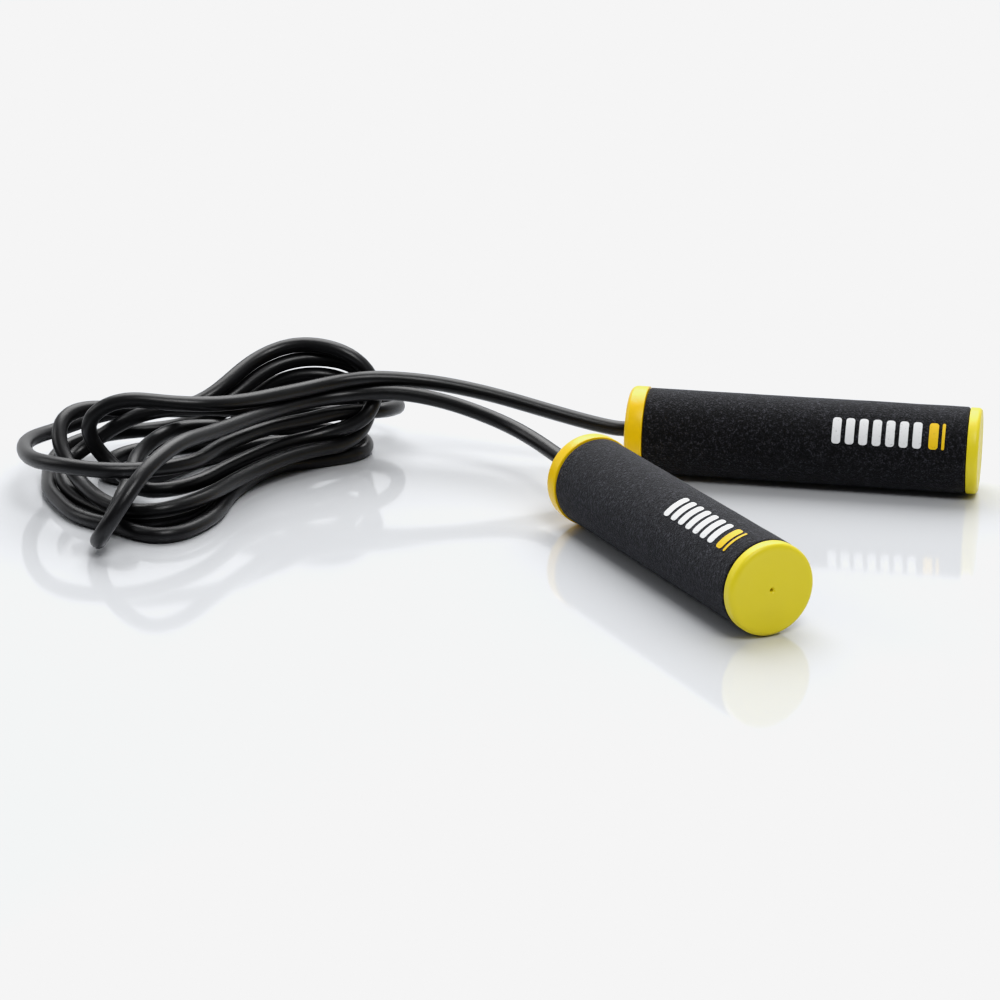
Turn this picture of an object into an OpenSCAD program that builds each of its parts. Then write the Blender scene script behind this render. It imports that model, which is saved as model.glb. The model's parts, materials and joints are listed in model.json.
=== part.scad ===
// Jump rope: a round cord whose two ends turn freely inside foam-covered handles.
// Lengths are millimetres. +Z is up and the floor is z = 0.
// Both handles lie on the floor. Handle B lies along +X, and the rope's hank lies in front of both.

/* [Grip] */
// Outside diameter of the foam grip
grip_d = 38; // [36:0.5:46]
// Length of the foam grip
grip_len = 141; // [110:1:170]
// Wall of the foam
foam_wall = 5; // [4:0.5:5.5]
// Rounding of the foam's two ends
foam_edge = 1.2; // [0.5:0.1:2]

/* [Core tube] */
// Wall of the rigid tube under the foam
tube_wall = 2; // [1.5:0.25:2.5]

/* [Front collar] */
// Thickness of the collar's flange
collar_t = 8; // [6:0.5:10]
// How far the collar stands proud of the foam, in radius
collar_step = 0.5; // [0.3:0.1:1.5]
// Rounding of the collar's front edge
collar_edge = 2.8; // [1.5:0.1:3.5]
// Rounding of the mouth of the cord's bore
mouth_edge = 1.5; // [0.5:0.1:2.5]
// Length of the collar's plug in the core tube
collar_plug = 12; // [8:1:18]

/* [Rear cap] */
// Thickness of the cap's flange
cap_t = 5; // [4:0.5:7]
// How far the cap lies below the foam, in radius
cap_step = 0.2; // [0:0.1:1]
// Rounding of the cap's rim
cap_edge = 1.8; // [1:0.1:2.5]
// Length of the cap's plug in the core tube
cap_plug = 14; // [10:1:20]
// Diameter of the vent hole in the cap
vent_d = 1.5; // [1:0.1:3]

/* [Cord and its stop] */
// Diameter of the cord
cord_d = 6.8; // [5:0.2:8]
// Wall of the ferrule crimped on the cord
ferrule_wall = 2; // [1.5:0.1:2.2]
// Length of the ferrule
ferrule_len = 9; // [7:0.5:14]
// Depth of the ferrule's two crimp grooves
crimp = 0.5; // [0.2:0.1:0.8]
// Thickness of the thrust washer
washer_t = 1.5; // [0.8:0.1:2]
// Cord left beyond the ferrule
cord_stub = 2; // [1:0.5:6]

/* [Clearances] */
// Radial clearance of the cord in the collar and the washer
cord_clear = 0.3; // [0.2:0.05:0.5]
// Radial clearance of the plugs in the core tube
plug_clear = 0.05; // [0.02:0.01:0.08]
// Wall of both plugs
plug_wall = 2.2; // [1.5:0.1:2.5]
// Gap between the washer and the pieces on each side of it
washer_gap = 0.2; // [0.1:0.05:0.5]
// Gap between the washer's rim and the plug around it
washer_side = 1; // [0.5:0.1:1.5]
// Gap between the rear cap's flange and the grip
cap_gap = 0.2; // [0.1:0.05:0.4]

/* [Layout] */
// Turn of handle A from handle B, about the vertical
turn_a = -52; // [-60:1:-40]
// Place of handle A's front from handle B's front, along +X
front_a_x = -7.5; // [-15:0.5:0]
// Place of handle A's front from handle B's front, along +Y
front_a_y = -68.5; // [-90:0.5:-68]

/* [Hank] */
// Height of the hank
hank_h = 54; // [48:1:60]
// Radius of the hank's near corner
hank_near_r = 48; // [42:1:54]
// Radius of the hank's back corner
hank_back_r = 46; // [40:1:50]
// Radius of the hank's far corner
hank_far_r = 41; // [36:1:46]

/* [Hidden] */
round_fn = 96;  // sides of a circle; each is rebuilt as a true circle

// Radii, from the outside of the handle inwards
grip_r = grip_d / 2;
collar_r = grip_r + collar_step;
cap_r = grip_r - cap_step;
tube_r = grip_r - foam_wall;
tube_bore_r = tube_r - tube_wall;
plug_r = tube_bore_r - plug_clear;
plug_bore_r = plug_r - plug_wall;
cord_r = cord_d / 2;
cord_bore_r = cord_r + cord_clear;
washer_r = plug_bore_r - washer_side;
ferrule_r = cord_r + ferrule_wall;

// Places along a handle from its front face, which is at 0
grip_at = collar_t;
cap_at = grip_at + grip_len + cap_gap;
handle_len = cap_at + cap_t;
washer_at = collar_t + washer_gap;
ferrule_at = washer_at + washer_t + washer_gap;
cord_in = ferrule_at + ferrule_len + cord_stub;
cord_out = 6;         // straight cord in front of the collar
crimp_w = 1.5;        // width of a crimp groove
crimp_from_end = 2;   // from the ferrule's end to the middle of its groove

// The handles, as the place of the front face's middle from handle B's, and the heading
front_a = [front_a_x, front_a_y];
front_b = [0, 0];
turn_b = 0;
axis_z = collar_r;    // the collar is the widest piece, so it stands on the floor

// The origin is under the middle of the box around both handles.
// reach() is how far a handle goes in a direction, its rounded ends counted.
function heading(turn) = [cos(turn), sin(turn)];
function end_reach(along, across, s, r, edge) = along * s + across * (r - edge) + edge;
function reach(front, turn, dir) =
    let (along = heading(turn) * dir, across = abs(heading(turn + 90) * dir))
    front * dir + max(
        end_reach(along, across, collar_edge, collar_r, collar_edge),
        end_reach(along, across, collar_t, collar_r, 0),
        end_reach(along, across, handle_len - cap_edge, cap_r, cap_edge));
function far(dir) = max(reach(front_a, turn_a, dir), reach(front_b, turn_b, dir));
middle = [(far([1, 0]) - far([-1, 0])) / 2, (far([0, 1]) - far([0, -1])) / 2];

// Routes of the two leads, from the straight cord at the collar to inside the hank.
// Each point is from handle B's front face in x and y, and above the floor in z.
function out_of(front, turn) = concat(front - cord_out * heading(turn), [axis_z]);
route_b = concat([out_of(front_b, turn_b)],
    [[-16, 0, 21], [-30, 0, 24], [-45, 0, 27.5], [-60, 0, 31], [-75, -1, 34],
     [-90, -3, 36.5], [-105, -5, 38]]);
route_a = concat([out_of(front_a, turn_a)],
    [[-19, -53, 20], [-29, -40.5, 21], [-40, -29, 22.5], [-52, -21, 25], [-66, -16, 28],
     [-81, -13, 31], [-95, -12.5, 33], [-107, -13.5, 34]]);
tube_sides = 12;

// The hank's three round corners, from handle B's front face
hank_near = [-205, -116];
hank_back = [-210, -44];
hank_far = [-136, -4];

// ---- helpers ----

// Turns a shape made around +Z so that it lies along a handle's axis, front face at 0.
module on_handle(front, turn) {
    translate([front[0] - middle[0], front[1] - middle[1], axis_z])
        rotate([0, 0, turn]) rotate([0, 90, 0]) children();
}
module turned() { rotate_extrude($fn = round_fn) children(); }

// Half section of a disc with a rounded edge at its z = 0 side.
module disc_section(r, t, edge) {
    square([r - edge, t]);
    translate([0, edge]) square([r, t - edge]);
    translate([r - edge, edge]) circle(edge, $fn = round_fn);
}
// Half section of a ring.
module ring_section(r_in, r_out, t) { translate([r_in, 0]) square([r_out - r_in, t]); }

// Sweep of a tube along points, with each end cut square to its first or last step.
function unit(v) = v / norm(v);
function step_at(p, i) =
    unit(p[min(i + 1, len(p) - 1)] - p[max(i - 1, 0)]);
function ring_at(p, i, r) =
    let (t = step_at(p, i), side = unit(cross(t, [0, 0, 1])), up = cross(side, t))
    [for (k = [0:tube_sides - 1]) let (a = 360 * k / tube_sides)
        p[i] + r * (cos(a) * side + sin(a) * up)];
module swept(p, r) {
    n = tube_sides;
    last = len(p) - 1;
    points = [for (i = [0:last]) each ring_at(p, i, r)];
    sides = [for (i = [0:last - 1], k = [0:n - 1]) let (m = (k + 1) % n)
        [i * n + k, (i + 1) * n + k, (i + 1) * n + m, i * n + m]];
    first_end = [for (k = [0:n - 1]) k];
    last_end = [for (k = [n - 1:-1:0]) last * n + k];
    polyhedron(points, concat(sides, [first_end], [last_end]), convexity = 6);
}

// ---- pieces of one handle ----

// Front collar: a thick flange that the cord passes through, with a hollow plug in the core tube.
module front_collar(front, turn) {
    color("gold") on_handle(front, turn) turned() difference() {
        union() {
            disc_section(collar_r, collar_t, collar_edge);
            translate([0, collar_t]) ring_section(plug_bore_r, plug_r, collar_plug);
        }
        square([cord_bore_r, collar_t]);
        difference() {
            square([cord_bore_r + mouth_edge, mouth_edge]);
            translate([cord_bore_r + mouth_edge, mouth_edge]) circle(mouth_edge, $fn = round_fn);
        }
    }
}
// Core tube: the rigid tube that carries the foam and both plugs.
module core_tube(front, turn) {
    color("dimgray") on_handle(front, turn) turned()
        translate([0, grip_at]) ring_section(tube_bore_r, tube_r, grip_len);
}
// Foam grip: a sleeve over the core tube, with rounded ends.
module foam_grip(front, turn) {
    color([0.16, 0.16, 0.17]) on_handle(front, turn) turned() translate([0, grip_at]) {
        ring_section(tube_r, grip_r - foam_edge, grip_len);
        translate([0, foam_edge]) ring_section(tube_r, grip_r, grip_len - 2 * foam_edge);
        for (z = [foam_edge, grip_len - foam_edge])
            translate([grip_r - foam_edge, z]) circle(foam_edge, $fn = round_fn);
    }
}
// Rear cap: a flange with a rounded rim and a vent hole, on a hollow plug.
module rear_cap(front, turn) {
    color("gold") on_handle(front, turn) turned() translate([0, handle_len]) mirror([0, 1])
        difference() {
            union() {
                disc_section(cap_r, cap_t, cap_edge);
                translate([0, cap_t]) ring_section(plug_bore_r, plug_r, cap_plug);
            }
            square([vent_d / 2, cap_t]);
        }
}
// Thrust washer: bears on the inner face of the collar's flange.
module thrust_washer(front, turn) {
    color("silver") on_handle(front, turn) turned()
        translate([0, washer_at]) ring_section(cord_bore_r, washer_r, washer_t);
}
// Stop ferrule: a sleeve crimped on the cord, which can't pull through the washer.
module stop_ferrule(front, turn) {
    color("lightgray") on_handle(front, turn) turned() translate([0, ferrule_at]) difference() {
        ring_section(cord_r, ferrule_r, ferrule_len);
        for (z = [crimp_from_end, ferrule_len - crimp_from_end])
            translate([ferrule_r - crimp, z - crimp_w / 2]) square([2 * crimp, crimp_w]);
    }
}
// Cord end: the straight cord through the collar, washer and ferrule.
module cord_end(front, turn) {
    color("black") on_handle(front, turn)
        translate([0, 0, -cord_out]) cylinder(r = cord_r, h = cord_out + cord_in, $fn = round_fn);
}

// ---- pieces of the rope in the open ----

// Lead: the cord from a handle to the hank.
module rope_lead(route) {
    color("black") translate([-middle[0], -middle[1], 0]) swept(route, cord_r);
}
// Hank: the outer shape of the gathered turns.
module rope_hank() {
    color([0.12, 0.12, 0.13]) translate([-middle[0], -middle[1], 0])
        linear_extrude(hank_h) hull() {
            translate(hank_near) circle(hank_near_r, $fn = 48);
            translate(hank_back) circle(hank_back_r, $fn = 48);
            translate(hank_far) circle(hank_far_r, $fn = 48);
        }
}

front_collar(front_a, turn_a);  // front_collar_a
core_tube(front_a, turn_a);  // core_tube_a
foam_grip(front_a, turn_a);  // foam_grip_a
rear_cap(front_a, turn_a);  // rear_cap_a
thrust_washer(front_a, turn_a);  // thrust_washer_a
stop_ferrule(front_a, turn_a);  // stop_ferrule_a
cord_end(front_a, turn_a);  // cord_end_a
rope_lead(route_a);  // rope_lead_a
front_collar(front_b, turn_b);  // front_collar_b
core_tube(front_b, turn_b);  // core_tube_b
foam_grip(front_b, turn_b);  // foam_grip_b
rear_cap(front_b, turn_b);  // rear_cap_b
thrust_washer(front_b, turn_b);  // thrust_washer_b
stop_ferrule(front_b, turn_b);  // stop_ferrule_b
cord_end(front_b, turn_b);  // cord_end_b
rope_lead(route_b);  // rope_lead_b
rope_hank();
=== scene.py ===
import json
import math

import bpy
import numpy as np
from mathutils import Matrix, Vector


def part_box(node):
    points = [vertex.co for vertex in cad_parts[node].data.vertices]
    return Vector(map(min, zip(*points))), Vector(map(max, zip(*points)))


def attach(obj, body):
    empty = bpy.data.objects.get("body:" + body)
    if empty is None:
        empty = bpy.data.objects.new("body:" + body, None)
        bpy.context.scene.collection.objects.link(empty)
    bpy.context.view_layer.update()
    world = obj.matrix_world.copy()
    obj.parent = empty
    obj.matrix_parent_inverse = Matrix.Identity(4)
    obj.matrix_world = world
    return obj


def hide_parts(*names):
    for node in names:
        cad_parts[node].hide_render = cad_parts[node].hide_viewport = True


bl_info = {
    "name": "Jump rope builder",
    "version": (1, 0, 0),
    "blender": (4, 5, 0),
    "location": "View3D > Sidebar > Jump rope",
    "description": "Builds a jump rope with two foam-covered swivel handles round its packed frame",
    "category": "Object",
}

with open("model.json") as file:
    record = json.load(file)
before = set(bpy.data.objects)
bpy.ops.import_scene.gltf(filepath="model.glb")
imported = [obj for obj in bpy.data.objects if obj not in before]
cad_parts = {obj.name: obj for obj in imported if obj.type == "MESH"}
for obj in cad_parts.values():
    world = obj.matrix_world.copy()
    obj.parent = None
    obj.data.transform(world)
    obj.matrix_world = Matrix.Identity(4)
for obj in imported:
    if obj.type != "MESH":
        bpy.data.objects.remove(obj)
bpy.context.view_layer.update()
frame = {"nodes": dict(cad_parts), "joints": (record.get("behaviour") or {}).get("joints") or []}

HANDLES = ("a", "b")
MM = 0.001
JOINTS = {joint["name"]: joint for joint in frame["joints"]}

# Boxes of the pieces of handle B, which lies along +X.
grip_low, grip_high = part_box("foam_grip_b")
collar_low, collar_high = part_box("front_collar_b")
cap_low, cap_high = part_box("rear_cap_b")
end_low, end_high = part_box("cord_end_b")
washer_low, washer_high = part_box("thrust_washer_b")
tube_low, tube_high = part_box("core_tube_b")
FRONT_X = collar_low.x

# The plugs of the collars and caps: their outer and inner radius.
PLUG_RADIUS = 0.01195
PLUG_BORE = 0.00975

# The printed bars: the middle of each along the handle, from its front face, and its width.
WIDE_BARS = [(0.0930 + 0.0058 * count, 0.0038) for count in range(7)]
YELLOW_BARS = [(0.1348, 0.0040), (0.1390, 0.0013)]

# The foam's cells: two sizes of grain, as noise scales, and their mix.
CELLS = {"Fine": 1500.0, "Coarse": 620.0, "Mix": 0.35}

CAMERA_PLACE = (0.1549, -1.2573, 0.4552)
CAMERA_DOWN = 18.964
CAMERA_TURN = 11.739
CAMERA_LENS = 116.2

# The steps between the cord's points, as it is laid and as it is drawn, and how many are held.
LAY_STEP = 0.0032
CORD_STEP = 0.002
HELD_POINTS = 12

# The two leads, from each handle to the hank, in metres. They repeat the route of the CAD leads,
# from handle B's front face in x and y and from the floor in z.
LEAD_B = [
    (-0.016, 0, 0.021), (-0.030, 0, 0.024), (-0.045, 0, 0.0275), (-0.060, 0, 0.031),
    (-0.075, -0.001, 0.034), (-0.090, -0.003, 0.0365),
]
LEAD_A = [
    (-0.019, -0.053, 0.020), (-0.029, -0.0405, 0.021), (-0.040, -0.029, 0.0225),
    (-0.052, -0.021, 0.025), (-0.066, -0.016, 0.028), (-0.081, -0.013, 0.031),
    (-0.095, -0.0125, 0.033), (-0.107, -0.0135, 0.034),
]

# The hank, from the end of lead B to the end of lead A, in millimetres, measured as the leads are.
# Its strands were placed one by one. A separate program then eased them apart, chose points along
# them and rounded those, so this list is that program's output.
HANK = [
    # lead B over the top, and round the left end
    (-112, -10, 39), (-126, -16, 39), (-140, -29, 38), (-150, -45, 39), (-162, -63, 41),
    (-172, -75, 43), (-193, -83, 45), (-205, -85, 46), (-221, -88, 37), (-220, -83, 23),
    (-208, -83, 11),
    # first run to the right
    (-193, -95, 9), (-176, -85, 10), (-171, -70, 10), (-162, -49, 11), (-149, -31, 13),
    (-137, -21, 14), (-123, -16, 18),
    # up the right end, over the tallest arch, and down the left end
    (-115, -11, 26), (-116, -5, 36), (-126, -5, 47), (-147, -4, 51), (-159, -7, 49),
    (-170, -17, 44), (-179, -32, 37), (-187, -40, 32), (-201, -47, 30), (-217, -51, 30),
    (-228, -56, 32), (-239, -71, 31), (-236, -83, 21), (-225, -93, 11), (-218, -103, 10),
    # second run to the right
    (-201, -118, 9), (-181, -123, 10), (-166, -105, 11), (-162, -86, 10), (-156, -64, 10),
    (-144, -42, 11), (-134, -29, 11), (-124, -12, 11),
    # up the right end, over the middle arch, and out to the furthest loop on the left
    (-120, -2, 16), (-119, 4, 30), (-126, 2, 40), (-147, -3, 44), (-159, -9, 42),
    (-167, -17, 38), (-178, -30, 30), (-189, -33, 27), (-205, -31, 25), (-220, -28, 23),
    (-236, -29, 20), (-249, -41, 17), (-253, -53, 18), (-255, -69, 20), (-250, -91, 23),
    (-238, -113, 26), (-226, -123, 28),
    # third run to the right, the topmost one
    (-204, -127, 28), (-186, -120, 27), (-178, -111, 26), (-171, -100, 25), (-167, -81, 25),
    (-163, -63, 24), (-153, -39, 23), (-141, -24, 22), (-130, -13, 23), (-116, -5, 22),
    # wide turn at the right end, and back to the left
    (-110, 17, 18), (-117, 28, 16), (-140, 28, 17), (-151, 12, 19), (-160, -14, 24),
    (-169, -31, 27), (-180, -43, 31), (-197, -52, 32), (-209, -56, 30), (-220, -56, 24),
    (-232, -57, 15), (-240, -68, 9), (-231, -90, 5), (-222, -99, 4),
    # fourth run to the right, on the floor
    (-212, -107, 3), (-201, -114, 3), (-189, -118, 3), (-174, -105, 3), (-170, -79, 3),
    (-167, -60, 3), (-158, -36, 3), (-146, -18, 3), (-136, -3, 4),
    # steep turn at the right end, over the lowest arch, and wide round the back
    (-124, 8, 12), (-124, 8, 25), (-135, -2, 36), (-147, -5, 37), (-162, -9, 33),
    (-172, -12, 26), (-183, -13, 20), (-194, -10, 15), (-209, -10, 10), (-221, -14, 9),
    (-232, -20, 9), (-249, -35, 7), (-251, -56, 4), (-246, -72, 3), (-241, -87, 3),
    (-232, -100, 3), (-220, -115, 3), (-210, -122, 3),
    # fifth run to the right, nearest the front
    (-198, -126, 4), (-186, -132, 3), (-174, -134, 3), (-162, -110, 3), (-162, -75, 3),
    (-158, -54, 4), (-149, -34, 4), (-134, -21, 3),
    # flat turn at the right end, and back to the left inside the others
    (-121, -8, 3), (-125, 10, 3), (-135, 18, 3), (-157, 20, 3), (-169, 17, 4), (-182, 7, 4),
    (-192, -5, 3), (-204, -15, 3), (-214, -23, 4), (-223, -32, 4), (-227, -53, 4),
    (-220, -64, 3),
    # sixth run to the right, inside the others
    (-203, -62, 3), (-196, -52, 4), (-191, -37, 4), (-181, -24, 3), (-173, -14, 4),
    (-161, -4, 4), (-149, 0, 4),
    # short turn at the right end, and back to the left through the middle
    (-133, 8, 7), (-138, 29, 9), (-150, 29, 9), (-162, 15, 10), (-171, -2, 12), (-181, -14, 14),
    (-191, -22, 15), (-198, -32, 17), (-203, -50, 18), (-204, -66, 18),
    # down to the near tip
    (-202, -85, 19), (-198, -104, 18), (-196, -116, 17), (-196, -128, 13), (-198, -145, 5),
    # turn at the tip, and lead A over the top
    (-194, -159, 10), (-187, -158, 20), (-182, -151, 29), (-178, -141, 35), (-171, -117, 39),
    (-166, -98, 37), (-159, -74, 35), (-150, -46, 33), (-142, -29, 32), (-127, -17, 32),
    (-108, -14, 34),
]


# ---- what a user may change ----


class JumpRopeSizes(bpy.types.PropertyGroup):
    """Sizes of the pieces"""

    cord_diameter: bpy.props.FloatProperty(
        name="Cord diameter", description="Thickness of the round cord",
        default=end_high.z - end_low.z, min=0.005, max=0.008, unit="LENGTH", precision=4,
    )
    cord_length: bpy.props.FloatProperty(
        name="Cord length", description="Length of the whole cord, with its ends in the handles",
        default=3.08, min=2.0, max=3.5, unit="LENGTH",
    )
    grip_edge: bpy.props.FloatProperty(
        name="Grip edge", description="Rounding of the foam's ends",
        default=0.0012, min=0.0005, max=0.002, unit="LENGTH", precision=4,
    )
    collar_edge: bpy.props.FloatProperty(
        name="Collar edge", description="Rounding of the front collar's edge",
        default=0.0028, min=0.0015, max=0.0035, unit="LENGTH", precision=4,
    )
    cap_edge: bpy.props.FloatProperty(
        name="Cap edge", description="Rounding of the rear cap's rim",
        default=0.0018, min=0.001, max=0.0025, unit="LENGTH", precision=4,
    )
    bar_height: bpy.props.FloatProperty(
        name="Bar height", description="Height of the printed bars, round the grip",
        default=0.012, min=0.005, max=0.015, unit="LENGTH", precision=4,
    )


class JumpRopeColours(bpy.types.PropertyGroup):
    """Colours of the finishes"""

    cord: bpy.props.FloatVectorProperty(
        name="Cord", description="Colour of the cord", subtype="COLOR", size=4,
        default=(0.008, 0.008, 0.009, 1), min=0, max=1,
    )
    foam: bpy.props.FloatVectorProperty(
        name="Foam", description="Colour of the grips' foam", subtype="COLOR", size=4,
        default=(0.011, 0.011, 0.0128, 1), min=0, max=1,
    )
    plastic: bpy.props.FloatVectorProperty(
        name="Plastic", description="Colour of the collars and caps", subtype="COLOR", size=4,
        default=(0.98, 0.62, 0.01, 1), min=0, max=1,
    )
    ink: bpy.props.FloatVectorProperty(
        name="Ink", description="Colour of the wide printed bars", subtype="COLOR", size=4,
        default=(0.86, 0.87, 0.88, 1), min=0, max=1,
    )


# ---- working in edit mode ----


def alone(obj):
    """Selects one object only, and makes it the active one."""
    bpy.ops.object.select_all(action="DESELECT")
    obj.select_set(True)
    bpy.context.view_layer.objects.active = obj


def pick_faces(obj, test):
    """Selects the faces whose centre and normal pass the test, and leaves the object in edit mode."""
    pick(obj, "FACE", [test(face.center, face.normal) for face in obj.data.polygons])


def pick_edges(obj, test):
    """Selects the edges whose two ends pass the test, and leaves the object in edit mode."""
    points = obj.data.vertices
    ends = [[points[i].co for i in edge.vertices] for edge in obj.data.edges]
    pick(obj, "EDGE", [test(first, second) for first, second in ends])


def pick(obj, kind, chosen):
    """Selects the chosen faces or edges, and leaves the object in edit mode."""
    bpy.ops.object.mode_set(mode="EDIT")
    bpy.ops.mesh.select_mode(type=kind)
    bpy.ops.mesh.select_all(action="DESELECT")
    bpy.ops.object.mode_set(mode="OBJECT")
    items = obj.data.polygons if kind == "FACE" else obj.data.edges
    items.foreach_set("select", chosen)
    bpy.ops.object.mode_set(mode="EDIT")


def done(obj, angle=35):
    """Leaves edit mode with outward normals and smooth shading."""
    bpy.ops.object.mode_set(mode="EDIT")
    bpy.ops.mesh.select_all(action="SELECT")
    bpy.ops.mesh.remove_doubles(threshold=1e-6)
    bpy.ops.mesh.normals_make_consistent(inside=False)
    bpy.ops.object.mode_set(mode="OBJECT")
    alone(obj)
    bpy.ops.object.shade_smooth_by_angle(angle=math.radians(angle))
    return obj


def far_out(point):
    """Distance from the handle's axis."""
    return math.hypot(point.x, point.y)


def ring_at(radius, height, within=0.0002):
    """A test for edges that lie on a circle round the handle's axis."""
    def test(first, second):
        return all(
            abs(far_out(end) - radius) < within and abs(end.z - height) < within
            for end in (first, second)
        )
    return test


def end_face(height, up):
    """A test for the face in the middle of an end."""
    def test(centre, normal):
        return abs(centre.z - height) < 1e-5 and normal.z * up > 0.9 and far_out(centre) < 1e-4
    return test


def disc(name, radius, low, high, sides=144):
    """A round block along +Z, as the start of a turned piece."""
    bpy.ops.object.select_all(action="DESELECT")
    bpy.ops.mesh.primitive_cylinder_add(
        vertices=sides, radius=radius, depth=high - low, location=(0, 0, (low + high) / 2)
    )
    obj = bpy.context.object
    obj.name = name
    bpy.ops.object.transform_apply(location=True, rotation=True, scale=True)
    return obj


def inset_end(obj, height, up, thickness, depth=0.0):
    """Insets the middle face of an end."""
    pick_faces(obj, end_face(height, up))
    bpy.ops.mesh.inset(thickness=thickness, depth=depth)
    bpy.ops.object.mode_set(mode="OBJECT")


def bevel_ring(obj, radius, height, width, segments):
    """Rounds a circular edge."""
    pick_edges(obj, ring_at(radius, height))
    bpy.ops.mesh.bevel(offset=width, segments=segments, profile=0.5)
    bpy.ops.object.mode_set(mode="OBJECT")


def open_through(obj, low, high):
    """Joins the middle faces of both ends by a round hole."""
    lower, upper = end_face(low, -1), end_face(high, 1)
    pick_faces(obj, lambda centre, normal: lower(centre, normal) or upper(centre, normal))
    bpy.ops.mesh.bridge_edge_loops()
    bpy.ops.object.mode_set(mode="OBJECT")


def raise_ring(obj, inner, outer, height, up, length):
    """Extrudes the ring between two radii along the axis."""
    pick_faces(
        obj,
        lambda centre, normal: abs(centre.z - height) < 1e-5
        and normal.z * up > 0.9 and inner < far_out(centre) < outer,
    )
    bpy.ops.mesh.extrude_region_move(TRANSFORM_OT_translate={"value": (0, 0, up * length)})
    bpy.ops.object.mode_set(mode="OBJECT")


def handle_place(handle):
    """Matrix from a handle's own space, with the front face at 0 and +Z to the rear, to the frame."""
    joint = JOINTS[f"handle_{handle}_swivel"]
    axis, up = Vector(joint["axis"]).normalized(), Vector((0, 0, 1))
    turn = Matrix((up, axis.cross(up), axis)).transposed().to_4x4()
    return Matrix.Translation(Vector(joint["pos_m"])) @ turn


def keep_own_space(obj):
    """Stores each point's place along the handle, so that the finish goes by it."""
    points = [value for vertex in obj.data.vertices for value in vertex.co]
    own = obj.data.attributes.new("own_space", "FLOAT_VECTOR", "POINT")
    own.data.foreach_set("vector", points)


def put_on_handles(obj, name, body, nodes=()):
    """Makes a copy of a piece on each handle, with its own mesh, and removes the model it came from."""
    keep_own_space(obj)
    copies = []
    for handle in HANDLES:
        copy = bpy.data.objects.new(f"{name}_{handle}", obj.data.copy())
        bpy.context.scene.collection.objects.link(copy)
        copy.data.transform(handle_place(handle))
        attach(copy, f"{body}_{handle}")
        if nodes:
            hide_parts(*(f"{node}_{handle}" for node in nodes))
        copies.append(copy)
    bpy.data.objects.remove(obj)
    return copies


# ---- finishes ----


def new_material(name):
    """A new material, its node tree and its shader."""
    material = bpy.data.materials.new(name)
    material.use_nodes = True
    shader = material.node_tree.nodes["Principled BSDF"]
    return material, material.node_tree, shader


def add(tree, kind, **values):
    """Adds a node and sets its inputs and properties by name."""
    node = tree.nodes.new(kind)
    for key, value in values.items():
        socket = node.inputs.get(key.replace("_", " "))
        if socket is None:
            setattr(node, key, value)
        else:
            socket.default_value = value
    return node


def grain_group():
    """Node group: fine grain from two sizes of noise, as a mask and a bumped normal."""
    if "Grain" in bpy.data.node_groups:
        return bpy.data.node_groups["Grain"]
    group = bpy.data.node_groups.new("Grain", "ShaderNodeTree")
    face = group.interface
    face.new_socket("Place", in_out="INPUT", socket_type="NodeSocketVector")
    for name, value in (("Fine", 900.0), ("Coarse", 90.0), ("Mix", 0.3), ("Depth", 0.0001)):
        face.new_socket(name, in_out="INPUT", socket_type="NodeSocketFloat").default_value = value
    face.new_socket("Mask", in_out="OUTPUT", socket_type="NodeSocketFloat")
    face.new_socket("Normal", in_out="OUTPUT", socket_type="NodeSocketVector")
    into, out = group.nodes.new("NodeGroupInput"), group.nodes.new("NodeGroupOutput")
    fine = add(group, "ShaderNodeTexNoise", Detail=3.0, Roughness=0.6)
    coarse = add(group, "ShaderNodeTexNoise", Detail=2.0, Roughness=0.5)
    both = add(group, "ShaderNodeMix", data_type="FLOAT")
    bump = add(group, "ShaderNodeBump", Strength=1.0)
    link = group.links.new
    for noise, size in ((fine, "Fine"), (coarse, "Coarse")):
        link(into.outputs["Place"], noise.inputs["Vector"])
        link(into.outputs[size], noise.inputs["Scale"])
    link(into.outputs["Mix"], both.inputs["Factor"])
    link(fine.outputs["Fac"], both.inputs["A"])
    link(coarse.outputs["Fac"], both.inputs["B"])
    link(both.outputs["Result"], bump.inputs["Height"])
    link(into.outputs["Depth"], bump.inputs["Distance"])
    link(both.outputs["Result"], out.inputs["Mask"])
    link(bump.outputs["Normal"], out.inputs["Normal"])
    return group


def grained(tree, place, **values):
    """Adds the grain group, reading its place from a socket."""
    node = tree.nodes.new("ShaderNodeGroup")
    node.node_tree = grain_group()
    for key, value in values.items():
        node.inputs[key].default_value = value
    tree.links.new(place, node.inputs["Place"])
    return node


def ramp(tree, source, stops):
    """Adds a colour ramp with the stops given as place and colour."""
    node = tree.nodes.new("ShaderNodeValToRGB")
    tree.links.new(source, node.inputs["Fac"])
    points = node.color_ramp.elements
    while len(points) < len(stops):
        points.new(0.5)
    for point, (at, colour) in zip(points, stops):
        point.position = at
        point.color = colour
    return node


def spread(tree, source, low, high):
    """Adds a map from 0..1 to a range, such as a roughness."""
    node = add(tree, "ShaderNodeMapRange", To_Min=low, To_Max=high)
    tree.links.new(source, node.inputs["Value"])
    return node.outputs["Result"]


def shade(colour, factor):
    """The colour, darker or lighter."""
    return tuple(min(1.0, channel * factor) for channel in colour[:3]) + (1,)


def own_space(tree):
    """A socket with the place along and round the handle."""
    return add(tree, "ShaderNodeAttribute", attribute_name="own_space").outputs["Vector"]


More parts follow.
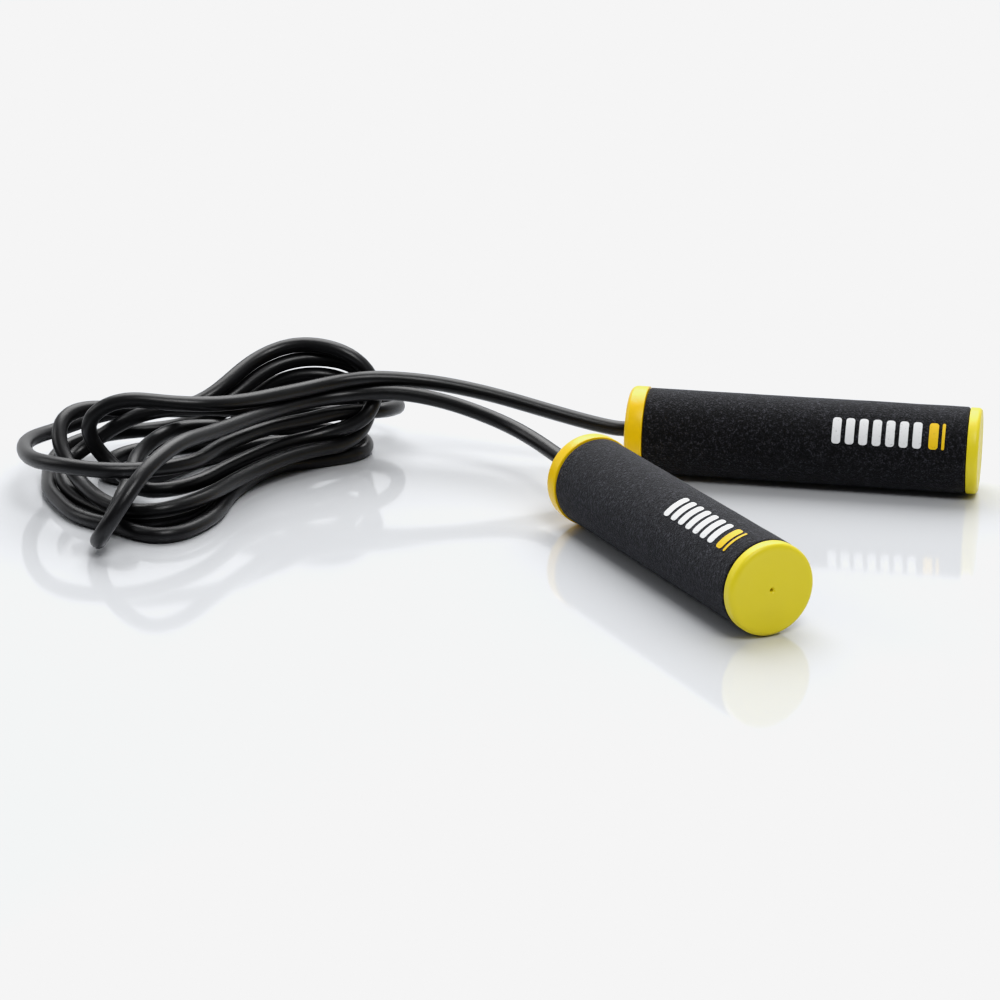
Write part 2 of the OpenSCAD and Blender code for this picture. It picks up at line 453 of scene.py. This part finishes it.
def foam_finish(colour):
    """Fine-celled foam, cut and sanded: matt, with light and dark specks."""
    material, tree, shader = new_material("grip_foam")
    place = own_space(tree)
    cells = grained(tree, place, **CELLS, Depth=0.0009)
    cloud = grained(tree, place, Fine=90.0, Coarse=25.0, Mix=0.5, Depth=0.0)
    specks = ramp(tree, cells.outputs["Mask"], [
        (0.38, shade(colour, 0.2)), (0.47, shade(colour, 0.6)),
        (0.54, shade(colour, 1.6)), (0.63, shade(colour, 6.0)),
    ])
    tint = add(tree, "ShaderNodeMix", data_type="RGBA", blend_type="MULTIPLY")
    tint.inputs["Factor"].default_value = 0.5
    tree.links.new(specks.outputs["Color"], tint.inputs["A"])
    light = ramp(tree, cloud.outputs["Mask"], [(0.3, (0.6, 0.6, 0.6, 1)), (0.7, (1, 1, 1, 1))])
    tree.links.new(light.outputs["Color"], tint.inputs["B"])
    tree.links.new(tint.outputs["Result"], shader.inputs["Base Color"])
    tree.links.new(spread(tree, cells.outputs["Mask"], 0.72, 0.95), shader.inputs["Roughness"])
    tree.links.new(cells.outputs["Normal"], shader.inputs["Normal"])
    shader.inputs["Specular IOR Level"].default_value = 0.35
    shader.inputs["Sheen Weight"].default_value = 0.16
    shader.inputs["Sheen Roughness"].default_value = 0.5
    shader.inputs["Sheen Tint"].default_value = (0.8, 0.82, 0.9, 1)
    return material


def plastic_finish(name, colour, gloss=0.3, glow=0.12):
    """Moulded plastic: an even colour, a faint unevenness and a fine moulded skin."""
    material, tree, shader = new_material(name)
    place = own_space(tree)
    skin = grained(tree, place, Fine=700.0, Coarse=45.0, Mix=0.6, Depth=0.00003)
    tone = ramp(tree, skin.outputs["Mask"], [(0.3, shade(colour, 0.93)), (0.7, shade(colour, 1.03))])
    tree.links.new(tone.outputs["Color"], shader.inputs["Base Color"])
    rough = spread(tree, skin.outputs["Mask"], gloss - 0.06, gloss + 0.1)
    tree.links.new(rough, shader.inputs["Roughness"])
    tree.links.new(skin.outputs["Normal"], shader.inputs["Normal"])
    shader.inputs["Subsurface Weight"].default_value = glow
    shader.inputs["Subsurface Radius"].default_value = (0.002, 0.0019, 0.0006)
    shader.inputs["Subsurface Scale"].default_value = 1.0
    return material


def cord_finish(colour):
    """Extruded soft plastic: satin black with faint lines along its length."""
    material, tree, shader = new_material("cord_pvc")
    place = add(tree, "ShaderNodeAttribute", attribute_name="along_cord").outputs["Vector"]
    lines = grained(tree, place, Fine=60.0, Coarse=18.0, Mix=0.4, Depth=0.00004)
    where = add(tree, "ShaderNodeTexCoord").outputs["Object"]
    dust = grained(tree, where, Fine=1100.0, Coarse=60.0, Mix=0.5, Depth=0.00002)
    tone = ramp(tree, dust.outputs["Mask"], [(0.35, shade(colour, 0.8)), (0.72, shade(colour, 1.5))])
    tree.links.new(tone.outputs["Color"], shader.inputs["Base Color"])
    rough = spread(tree, lines.outputs["Mask"], 0.27, 0.42)
    tree.links.new(rough, shader.inputs["Roughness"])
    tree.links.new(lines.outputs["Normal"], shader.inputs["Normal"])
    shader.inputs["Specular IOR Level"].default_value = 0.55
    return material


def metal_finish(name, colour, gloss):
    """Turned metal with fine marks in an even grain."""
    material, tree, shader = new_material(name)
    place = add(tree, "ShaderNodeTexCoord").outputs["Object"]
    marks = grained(tree, place, Fine=1600.0, Coarse=200.0, Mix=0.4, Depth=0.00002)
    tone = ramp(tree, marks.outputs["Mask"], [(0.3, shade(colour, 0.85)), (0.7, shade(colour, 1.05))])
    tree.links.new(tone.outputs["Color"], shader.inputs["Base Color"])
    tree.links.new(spread(tree, marks.outputs["Mask"], gloss, gloss + 0.2), shader.inputs["Roughness"])
    tree.links.new(marks.outputs["Normal"], shader.inputs["Normal"])
    shader.inputs["Metallic"].default_value = 1.0
    return material


def ink_finish(name, colour):
    """Printing ink on foam: thin and matt, with the foam's cells showing through."""
    material, tree, shader = new_material(name)
    place = own_space(tree)
    cells = grained(tree, place, **CELLS, Depth=0.00012)
    tone = ramp(tree, cells.outputs["Mask"], [(0.26, shade(colour, 0.35)), (0.42, colour)])
    tree.links.new(tone.outputs["Color"], shader.inputs["Base Color"])
    tree.links.new(spread(tree, cells.outputs["Mask"], 0.45, 0.65), shader.inputs["Roughness"])
    tree.links.new(cells.outputs["Normal"], shader.inputs["Normal"])
    return material


# ---- the cord's lie ----


def smooth_through(points, step):
    """A curve through the points, as points a step apart."""
    points = np.array(points, float)
    ends = np.vstack([2 * points[0] - points[1], points, 2 * points[-1] - points[-2]])
    drawn = []
    for p in (ends[i - 1:i + 3] for i in range(1, len(ends) - 2)):
        t = np.cumsum([0, *(np.linalg.norm(np.diff(p, axis=0), axis=1) ** 0.5)])
        for at in np.linspace(t[1], t[2], 24, endpoint=False):
            level = list(p)
            for width in (1, 2, 3):
                level = [
                    (level[k] * (t[high] - at) + level[k + 1] * (at - t[low])) / (t[high] - t[low])
                    for k in range(len(level) - 1)
                    for low, high in [span(k, width)]
                ]
            drawn.append(level[0])
    return spaced_out(np.array(drawn + [points[-1]]), step)


def span(k, width):
    """The two knots that one blend of a cubic curve goes between."""
    if width == 1:
        return k, k + 1
    if width == 2:
        return k, k + 2
    return 1, 2


def spaced_out(line, step):
    """The line again, with points a step apart."""
    along = np.concatenate([[0], np.cumsum(np.linalg.norm(np.diff(line, axis=0), axis=1))])
    at = np.linspace(0, along[-1], round(along[-1] / step) + 1)
    return np.stack([np.interp(at, along, line[:, axis]) for axis in range(3)], axis=1)


def settled(line, held, diameter, steps=260):
    """The line after its bends have eased and its turns have moved out of each other.

    The first and last points are held. The cord keeps its length and stays above the floor,
    and its bends ease as a springy cord's do. No weight acts on it.
    """
    home, line = line.copy(), line.copy()
    rest = np.linalg.norm(np.diff(line, axis=0), axis=1).mean()
    free = np.ones((len(line), 1))
    free[:held] = 0
    free[-held:] = 0
    room = diameter + 0.0001
    for turn in range(steps):
        if turn % 10 == 0:
            first, second = near_pairs(line, 2 * diameter, int(2.5 * diameter / rest))
        bend = np.zeros_like(line)
        bend[1:-1] = (line[:-2] + line[2:]) / 2 - line[1:-1]
        change = np.zeros_like(line)
        change[1:-1] = bend[1:-1] - (bend[:-2] + bend[2:]) / 2
        line += free * (0.4 * change + 0.012 * (home - line))
        for start in (0, 1):
            end = start + (len(line) - start) // 2 * 2
            low, high = slice(start, end, 2), slice(start + 1, end, 2)
            gap = line[high] - line[low]
            far = np.linalg.norm(gap, axis=1, keepdims=True)
            move = 0.25 * (far - rest) / far * gap
            line[low] += move * free[low]
            line[high] -= move * free[high]
        gap = line[second] - line[first]
        far = np.linalg.norm(gap, axis=1, keepdims=True)
        push = np.where(far < room, 0.25 * (room - far) / far, 0) * gap
        moved, hits = np.zeros_like(line), np.zeros((len(line), 1))
        touching = (far < room).astype(float)
        np.add.at(moved, first, -push)
        np.add.at(moved, second, push)
        np.add.at(hits, first, touching)
        np.add.at(hits, second, touching)
        line += 1.6 * free * moved / np.maximum(hits, 1)
        line[:, 2] = np.maximum(line[:, 2], diameter / 2)
    return line


def near_pairs(line, reach, skip):
    """Pairs of points that lie near each other and aren't neighbours along the cord."""
    away = np.linalg.norm(line[:, None] - line[None], axis=2)
    first, second = np.nonzero(np.triu(away < reach, skip + 1))
    return first, second


def cord_line(diameter):
    """The whole cord's middle line, from inside handle B to inside handle A."""
    def inside(handle):
        place = handle_place(handle)
        depths = (end_high.x - FRONT_X, 0.014, 0.007, 0.0, end_low.x - FRONT_X)
        return [tuple(place @ Vector((0, 0, depth))) for depth in depths]

    def in_frame(points, scale=1.0):
        return [tuple(scale * Vector(p) + Vector((FRONT_X, axis_y, 0))) for p in points]

    axis_y = (end_low.y + end_high.y) / 2
    route = inside("b") + in_frame(LEAD_B) + in_frame(HANK, MM)
    route += in_frame(LEAD_A)[::-1] + inside("a")[::-1]
    line = smooth_through(route, LAY_STEP)
    return spaced_out(settled(line, HELD_POINTS, diameter), CORD_STEP)


# ---- operators ----


class JUMPROPE_OT_stage(bpy.types.Operator):
    """Set up the floor, the lights and the camera"""

    bl_idname = "jumprope.stage"
    bl_label = "Set up the stage"

    def execute(self, context):
        scene = context.scene
        scene.view_settings.view_transform = "Standard"
        bpy.ops.object.select_all(action="DESELECT")
        bpy.ops.mesh.primitive_plane_add(size=16, location=(0, 0, 0))
        floor = context.object
        floor.name = "floor"
        floor.data.materials.append(self.floor_finish())
        scene.world = self.studio_world()
        self.soft_box("top_light", (-0.3, 1.3, 2.0), (0, 0.1, 0), 2.6, 60)
        self.soft_box("side_light", (-2.2, -0.2, 1.2), (0, 0, 0), 1.2, 7)
        self.soft_box("front_light", (0.6, -1.2, 2.0), (0, 0, 0), 0.9, 22)
        self.set_tones(scene.view_settings)
        bpy.ops.object.camera_add(
            location=CAMERA_PLACE,
            rotation=(math.radians(90 - CAMERA_DOWN), 0, math.radians(CAMERA_TURN)),
        )
        camera = context.object
        camera.data.lens = CAMERA_LENS
        camera.data.sensor_width = 36
        scene.camera = camera
        return {"FINISHED"}

    def studio_world(self):
        """Soft light from all round, bright behind the object and dim in front of it."""
        world = bpy.data.worlds.new("studio")
        world.use_nodes = True
        tree = world.node_tree
        towards = add(tree, "ShaderNodeTexCoord")
        parts = add(tree, "ShaderNodeSeparateXYZ")
        level = add(tree, "ShaderNodeMapRange", From_Min=-0.5, From_Max=0.9, To_Min=0.2, To_Max=0.85)
        tree.links.new(towards.outputs["Generated"], parts.inputs["Vector"])
        tree.links.new(parts.outputs["Y"], level.inputs["Value"])
        back = tree.nodes["Background"]
        back.inputs["Color"].default_value = (0.98, 0.99, 1.0, 1)
        tree.links.new(level.outputs["Result"], back.inputs["Strength"])
        return world

    def soft_box(self, name, place, target, size, power):
        """A round soft light that shines at a target."""
        bpy.ops.object.light_add(type="AREA", location=place)
        light = bpy.context.object
        light.name = name
        light.data.shape = "DISK"
        light.data.size = size
        light.data.energy = power
        towards = Vector(target) - Vector(place)
        light.rotation_euler = towards.to_track_quat("-Z", "Y").to_euler()

    def set_tones(self, settings):
        """Deepens the blacks, and keeps white a little below full."""
        settings.use_curve_mapping = True
        settings.curve_mapping.extend = "HORIZONTAL"
        curve = settings.curve_mapping.curves[3]
        curve.points[1].location = (1.0, 0.913)
        for point in ((0.02, 0.007), (0.06, 0.037), (0.2, 0.185)):
            curve.points.new(*point)
        settings.curve_mapping.update()

    def floor_finish(self):
        """A pale gloss, which mirrors the object softly."""
        material, tree, shader = new_material("floor")
        shader.inputs["Base Color"].default_value = (0.72, 0.735, 0.76, 1)
        shader.inputs["Roughness"].default_value = 0.08
        shader.inputs["IOR"].default_value = 1.9
        shader.inputs["Specular Tint"].default_value = (0.92, 0.94, 1.0, 1)
        return material


class JUMPROPE_OT_cord(bpy.types.Operator):
    """Lay the cord in its hank, from one handle to the other"""

    bl_idname = "jumprope.cord"
    bl_label = "Lay the cord"

    def execute(self, context):
        sizes, colours = context.scene.jump_rope_sizes, context.scene.jump_rope_colours
        line = cord_line(sizes.cord_diameter)
        bpy.ops.object.select_all(action="DESELECT")
        bpy.ops.curve.primitive_nurbs_path_add(location=(0, 0, 0))
        cord = context.object
        cord.name = "rope_cord"
        curve = cord.data
        curve.splines.clear()
        spline = curve.splines.new("POLY")
        spline.points.add(len(line) - 1)
        spline.points.foreach_set("co", np.hstack([line, np.ones((len(line), 1))]).ravel())
        curve.dimensions = "3D"
        curve.twist_mode = "MINIMUM"
        curve.bevel_depth = sizes.cord_diameter / 2
        curve.bevel_resolution = 6
        curve.use_fill_caps = True
        alone(cord)
        bpy.ops.object.convert(target="MESH")
        cord = context.object
        self.mark_length(cord, line)
        done(cord, 60)
        cord.data.materials.clear()
        cord.data.materials.append(cord_finish(colours.cord))
        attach(cord, "rope")
        ends = [f"{node}_{handle}" for node in ("rope_lead", "cord_end") for handle in HANDLES]
        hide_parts("rope_hank", *ends)
        [tuple(p) for p in line]
        return {"FINISHED"}

    def mark_length(self, cord, line):
        """Stores how far along and how far round the cord each point of the skin is."""
        count = len(cord.data.vertices)
        points = np.zeros(count * 3, np.float32)
        cord.data.vertices.foreach_get("co", points)
        points = points.reshape(-1, 3)
        sides = count // len(line)
        ring = np.minimum(np.arange(count) // sides, len(line) - 1)
        angle = 2 * np.pi * (np.arange(count) % sides) / sides
        place = np.stack([np.cos(angle), np.sin(angle), ring * CORD_STEP * 2], axis=1)
        own = cord.data.attributes.new("along_cord", "FLOAT_VECTOR", "POINT")
        own.data.foreach_set("vector", place.astype(np.float32).ravel())


class JUMPROPE_OT_grips(bpy.types.Operator):
    """Make the foam grips"""

    bl_idname = "jumprope.grips"
    bl_label = "Make the foam grips"

    def execute(self, context):
        sizes, colours = context.scene.jump_rope_sizes, context.scene.jump_rope_colours
        radius = (grip_high.z - grip_low.z) / 2
        wall = radius - (tube_high.z - tube_low.z) / 2
        low, high = grip_low.x - FRONT_X, grip_high.x - FRONT_X
        grip = disc("grip", radius, low, high)
        pick_edges(grip, lambda first, second: abs(first.z - second.z) > 0.01)
        bpy.ops.mesh.subdivide(number_cuts=70)
        bpy.ops.object.mode_set(mode="OBJECT")
        outer = sizes.grip_edge + 0.0008
        for height, up in ((low, -1), (high, 1)):
            inset_end(grip, height, up, outer)
            inset_end(grip, height, up, wall - outer)
        open_through(grip, low, high)
        for height in (low, high):
            bevel_ring(grip, radius, height, sizes.grip_edge, 6)
        done(grip, 50)
        texture = bpy.data.textures.new("unevenness", "CLOUDS")
        texture.noise_scale = 0.02
        swell = grip.modifiers.new("unevenness", "DISPLACE")
        swell.texture = texture
        swell.strength = 0.00025
        swell.mid_level = 0.8
        bpy.ops.object.modifier_apply(modifier=swell.name)
        grip.data.materials.append(foam_finish(colours.foam))
        for copy in put_on_handles(grip, "grip_foam", "handle", ("foam_grip",)):
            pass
        return {"FINISHED"}


class JUMPROPE_OT_collars(bpy.types.Operator):
    """Make the front collars, which the cord runs through"""

    bl_idname = "jumprope.collars"
    bl_label = "Make the front collars"

    def execute(self, context):
        sizes, colours = context.scene.jump_rope_sizes, context.scene.jump_rope_colours
        radius = (collar_high.z - collar_low.z) / 2
        hole = sizes.cord_diameter / 2 + 0.0003
        round_hole = 0.004
        flange = grip_low.x - FRONT_X
        collar = disc("collar", radius, 0, flange)
        inset_end(collar, 0, -1, radius - hole - round_hole)
        inset_end(collar, 0, -1, round_hole)
        inset_end(collar, flange, 1, radius - PLUG_RADIUS)
        inset_end(collar, flange, 1, PLUG_RADIUS - PLUG_BORE)
        raise_ring(collar, PLUG_BORE, PLUG_RADIUS, flange, 1, collar_high.x - FRONT_X - flange)
        inset_end(collar, flange, 1, PLUG_BORE - hole)
        open_through(collar, 0, flange)
        bevel_ring(collar, radius, 0, sizes.collar_edge, 10)
        bevel_ring(collar, hole, 0, 0.0015, 6)
        bevel_ring(collar, radius, flange, 0.0004, 3)
        done(collar)
        collar.data.materials.append(plastic_finish("cap_plastic", colours.plastic))
        put_on_handles(collar, "collar", "handle", ("front_collar",))
        return {"FINISHED"}


class JUMPROPE_OT_caps(bpy.types.Operator):
    """Make the rear caps"""

    bl_idname = "jumprope.caps"
    bl_label = "Make the rear caps"

    def execute(self, context):
        sizes = context.scene.jump_rope_sizes
        radius = (cap_high.z - cap_low.z) / 2
        vent, sink, sink_depth = 0.00075, 0.0006, 0.0005
        rim, slope, slope_depth, field = 0.0012, 0.0006, 0.00012, 0.008
        low, high = grip_high.x - FRONT_X + 0.0002, cap_high.x - FRONT_X
        face = high - slope_depth
        cap = disc("cap", radius, low, high)
        inset_end(cap, low, -1, radius - PLUG_RADIUS)
        inset_end(cap, low, -1, PLUG_RADIUS - PLUG_BORE)
        raise_ring(cap, PLUG_BORE, PLUG_RADIUS, low, -1, low - (cap_low.x - FRONT_X))
        inset_end(cap, low, -1, PLUG_BORE - vent)
        bevel_ring(cap, radius, high, sizes.cap_edge, 10)
        inset_end(cap, high, 1, rim)
        inset_end(cap, high, 1, slope, -slope_depth)
        inset_end(cap, face, 1, field)
        inset_end(cap, face, 1, radius - sizes.cap_edge - rim - slope - field - vent - sink)
        inset_end(cap, face, 1, sink, -sink_depth)
        open_through(cap, low, face - sink_depth)
        bevel_ring(cap, radius, low, 0.0003, 3)
        done(cap)
        cap.data.materials.append(bpy.data.materials["cap_plastic"])
        put_on_handles(cap, "cap", "cap", ("rear_cap",))
        return {"FINISHED"}


class JUMPROPE_OT_bars(bpy.types.Operator):
    """Print the plain bars on the grips"""

    bl_idname = "jumprope.bars"
    bl_label = "Print the bars"

    def execute(self, context):
        sizes, colours = context.scene.jump_rope_sizes, context.scene.jump_rope_colours
        white = ink_finish("ink_white", colours.ink)
        yellow = ink_finish("ink_yellow", shade(colours.plastic, 0.95))
        for handle, turn in (("a", 27), ("b", 56)):
            bars = [self.bar(*place, sizes.bar_height, white) for place in WIDE_BARS]
            bars += [self.bar(*place, sizes.bar_height, yellow) for place in YELLOW_BARS]
            alone(bars[0])
            for bar in bars:
                bar.select_set(True)
            bpy.ops.object.join()
            print_ = context.object
            print_.name = f"grip_bars_{handle}"
            keep_own_space(print_)
            spin = Matrix.Rotation(math.radians(turn), 4, "Z")
            print_.data.transform(handle_place(handle) @ spin)
            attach(print_, f"handle_{handle}")
        return {"FINISHED"}

    def bar(self, along, width, height, material):
        """One bar with round corners, wrapped on the grip at the handle's upper side."""
        radius = (grip_high.z - grip_low.z) / 2
        bpy.ops.object.select_all(action="DESELECT")
        bpy.ops.mesh.primitive_plane_add(
            size=1, location=(radius + 0.002, 0, along), rotation=(0, math.pi / 2, 0)
        )
        bar = bpy.context.object
        bar.scale = (width, height, 1)
        bpy.ops.object.transform_apply(location=True, rotation=True, scale=True)
        bpy.ops.object.mode_set(mode="EDIT")
        bpy.ops.mesh.select_all(action="SELECT")
        bpy.ops.mesh.bevel(offset=0.45 * min(width, 0.003), segments=5, affect="VERTICES")
        cuts = round(height / 0.0006)
        for cut in range(1, cuts):
            bpy.ops.mesh.select_all(action="SELECT")
            side = height * (cut / cuts - 0.5)
            bpy.ops.mesh.bisect(plane_co=(0, side, 0), plane_no=(0, 1, 0))
        bpy.ops.object.mode_set(mode="OBJECT")
        for vertex in bar.data.vertices:
            angle = vertex.co.y / radius
            vertex.co.x = (radius + 0.00003) * math.cos(angle)
            vertex.co.y = (radius + 0.00003) * math.sin(angle)
        thick = bar.modifiers.new("ink", "SOLIDIFY")
        thick.thickness = 0.00006
        thick.offset = 1
        bpy.ops.object.modifier_apply(modifier=thick.name)
        done(bar, 50)
        bar.data.materials.append(material)
        return bar


class JUMPROPE_OT_inner_pieces(bpy.types.Operator):
    """Finish the core tubes, washers and ferrules, which keep their exact shapes"""

    bl_idname = "jumprope.inner_pieces"
    bl_label = "Finish the inner pieces"

    def execute(self, context):
        finishes = {
            "core_tube": plastic_finish("tube_plastic", (0.05, 0.05, 0.055, 1), 0.45, 0.0),
            "thrust_washer": metal_finish("washer_steel", (0.62, 0.62, 0.64, 1), 0.25),
            "stop_ferrule": metal_finish("ferrule_metal", (0.74, 0.75, 0.77, 1), 0.3),
        }
        for node, material in finishes.items():
            for handle in HANDLES:
                piece = frame["nodes"][f"{node}_{handle}"]
                piece.data.materials.clear()
                piece.data.materials.append(material)
        return {"FINISHED"}


class JUMPROPE_PT_panel(bpy.types.Panel):
    """Lists the steps that build the jump rope"""

    bl_idname = "JUMPROPE_PT_panel"
    bl_label = "Jump rope"
    bl_space_type = "VIEW_3D"
    bl_region_type = "UI"
    bl_category = "Jump rope"

    def draw(self, context):
        for step in STEPS:
            self.layout.operator(step.bl_idname)
        for values in (context.scene.jump_rope_sizes, context.scene.jump_rope_colours):
            for name in values.__annotations__:
                self.layout.prop(values, name)


STEPS = (
    JUMPROPE_OT_stage, JUMPROPE_OT_cord, JUMPROPE_OT_grips, JUMPROPE_OT_collars,
    JUMPROPE_OT_caps, JUMPROPE_OT_bars, JUMPROPE_OT_inner_pieces,
)
CLASSES = (JumpRopeSizes, JumpRopeColours, *STEPS, JUMPROPE_PT_panel)


def register():
    for item in CLASSES:
        bpy.utils.register_class(item)
    bpy.types.Scene.jump_rope_sizes = bpy.props.PointerProperty(type=JumpRopeSizes)
    bpy.types.Scene.jump_rope_colours = bpy.props.PointerProperty(type=JumpRopeColours)


def unregister():
    del bpy.types.Scene.jump_rope_colours
    del bpy.types.Scene.jump_rope_sizes
    for item in reversed(CLASSES):
        bpy.utils.unregister_class(item)


def main():
    register()
    for step in STEPS:
        group, name = step.bl_idname.split(".")
        getattr(getattr(bpy.ops, group), name)()


if __name__ == "__main__":
    main()
